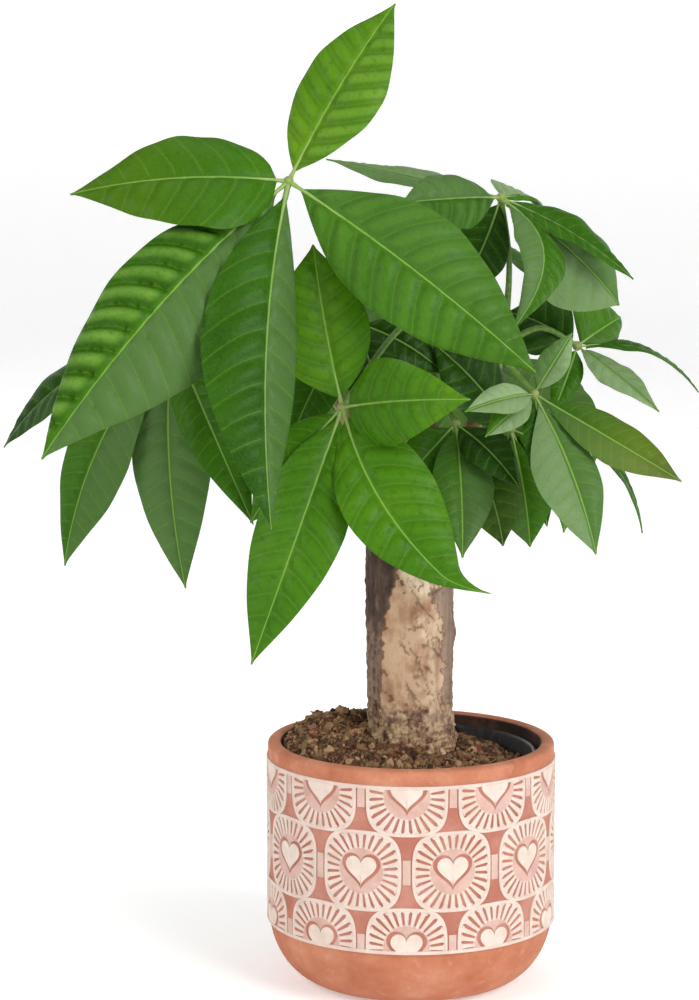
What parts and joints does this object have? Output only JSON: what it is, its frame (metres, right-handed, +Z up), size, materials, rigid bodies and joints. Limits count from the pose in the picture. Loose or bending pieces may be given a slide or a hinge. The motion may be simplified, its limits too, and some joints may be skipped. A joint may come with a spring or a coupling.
{
  "type": "potted money tree",
  "caption": "Small potted money tree: one woody trunk in a round-bottomed terracotta pot with a relief band, young shoots and drooping palmate leaves.",
  "frame": {"origin": "centre of the pot's flat base", "axes": "+Z up along the pot's axis and the trunk; the plant is seen from -Y with +X to the right"},
  "size_m": [0.3042, 0.2722, 0.4262],
  "materials": {
    "terracotta": "matt unglazed clay, with a cream slip ornament in low relief round the wall",
    "plastic": "thin black nursery pot",
    "soil": "coarse peat and bark potting mix",
    "bark": "pale tan bark, blotched with dark and reddish brown",
    "shoot": "brownish green young wood",
    "leaf": "glossy mid green leaf with paler veins"
  },
  "bodies": {
    "root": {"pot": "terracotta", "grow_pot": "plastic", "soil": "soil", "trunk": "bark", "shoot_front": "shoot", "shoot_left": "shoot", "shoot_right": "shoot", "shoot_back": "shoot", "leaf_high_left": "leaf", "leaf_front_low": "leaf", "leaf_high_right": "leaf", "leaf_right": "leaf", "leaf_far_right": "leaf", "leaf_right_low": "leaf", "leaf_front_right_low": "leaf", "leaf_inner_right": "leaf", "leaf_left": "leaf", "leaf_back_left": "leaf", "leaf_back": "leaf", "leaf_back_right": "leaf", "leaf_top_back": "leaf", "leaf_inner_left": "leaf"}
  },
  "joints": []
}
